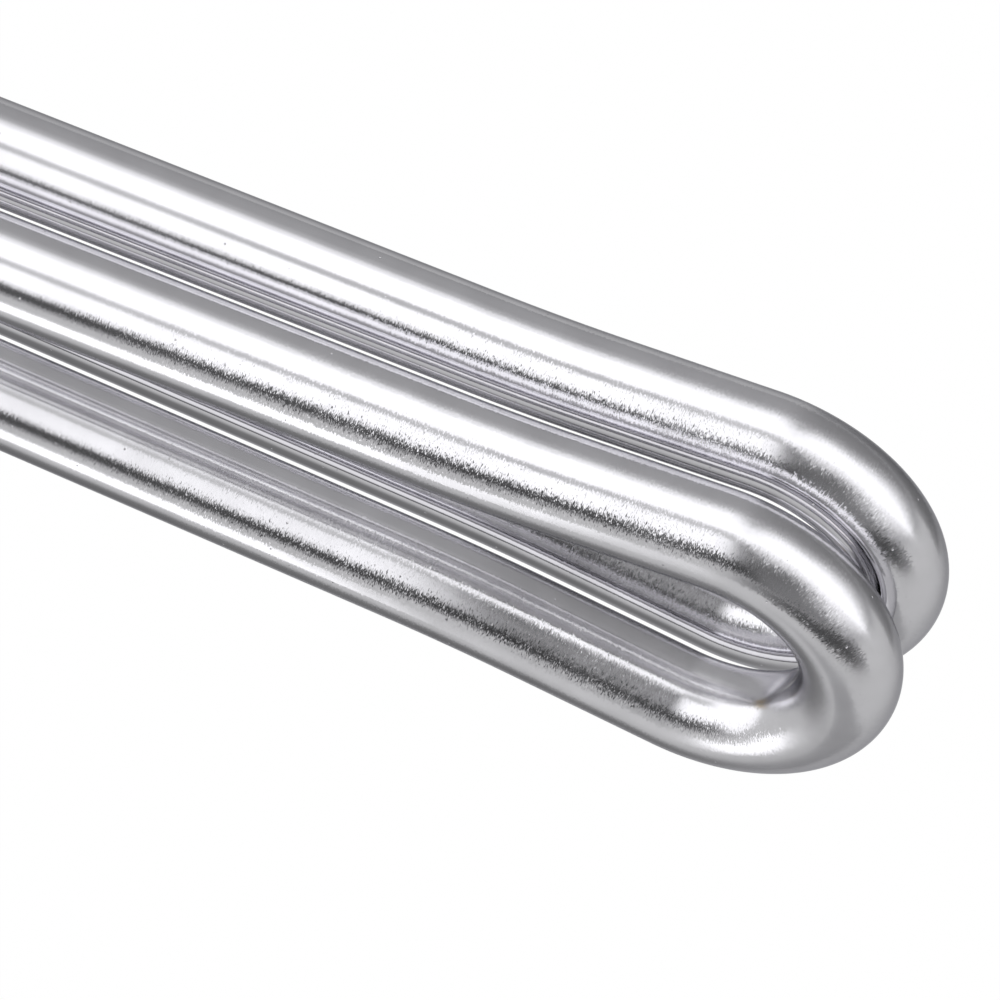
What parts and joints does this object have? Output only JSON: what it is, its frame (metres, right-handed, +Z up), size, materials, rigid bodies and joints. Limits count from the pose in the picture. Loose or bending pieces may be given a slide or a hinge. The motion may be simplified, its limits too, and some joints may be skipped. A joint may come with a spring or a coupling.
{
  "type": "tubular heating element",
  "caption": "Screw-plug tubular heating element: hairpin steel tubes with pear-shaped bends, brazed into a hexagonal plug with a flat gasket, ceramic beads, push-on tabs and an earth screw.",
  "frame": {"origin": "on the plug's axis, in the plane of the gasket's free face, where the plug is tightened against a wall", "axes": "+X along the plug's axis from the head to the bends, +Z up, the hairpins in planes of constant Y with the front one at -Y"},
  "size_m": [0.2236, 0.0578, 0.05],
  "materials": {
    "sheath_steel": "bright drawn stainless tube with fine polishing marks round it",
    "plug_brass": "turned brass, satin",
    "gasket_fibre": "compressed fibre sheet",
    "magnesia": "packed powder",
    "resistance_wire": "oxidised resistance wire",
    "braze": "silver brazing alloy",
    "seal_silicone": "cured silicone",
    "bead_ceramic": "steatite, unglazed",
    "pin_steel": "nickel-plated steel",
    "tab_steel": "nickel-plated steel sheet",
    "screw_steel": "zinc-plated steel"
  },
  "bodies": {
    "root": {"screw_plug": "plug_brass", "gasket": "gasket_fibre", "sheath_front": "sheath_steel", "magnesia_front": "magnesia", "heating_coil_front": "resistance_wire", "sheath_back": "sheath_steel", "magnesia_back": "magnesia", "heating_coil_back": "resistance_wire", "braze_fillet_front_upper": "braze", "end_seal_front_upper": "seal_silicone", "bead_front_upper": "bead_ceramic", "cold_pin_front_upper": "pin_steel", "tab_front_upper": "tab_steel", "braze_fillet_front_lower": "braze", "end_seal_front_lower": "seal_silicone", "bead_front_lower": "bead_ceramic", "cold_pin_front_lower": "pin_steel", "tab_front_lower": "tab_steel", "braze_fillet_back_upper": "braze", "end_seal_back_upper": "seal_silicone", "bead_back_upper": "bead_ceramic", "cold_pin_back_upper": "pin_steel", "tab_back_upper": "tab_steel", "braze_fillet_back_lower": "braze", "end_seal_back_lower": "seal_silicone", "bead_back_lower": "bead_ceramic", "cold_pin_back_lower": "pin_steel", "tab_back_lower": "tab_steel", "earth_washer": "screw_steel", "earth_screw": "screw_steel"}
  },
  "joints": []
}
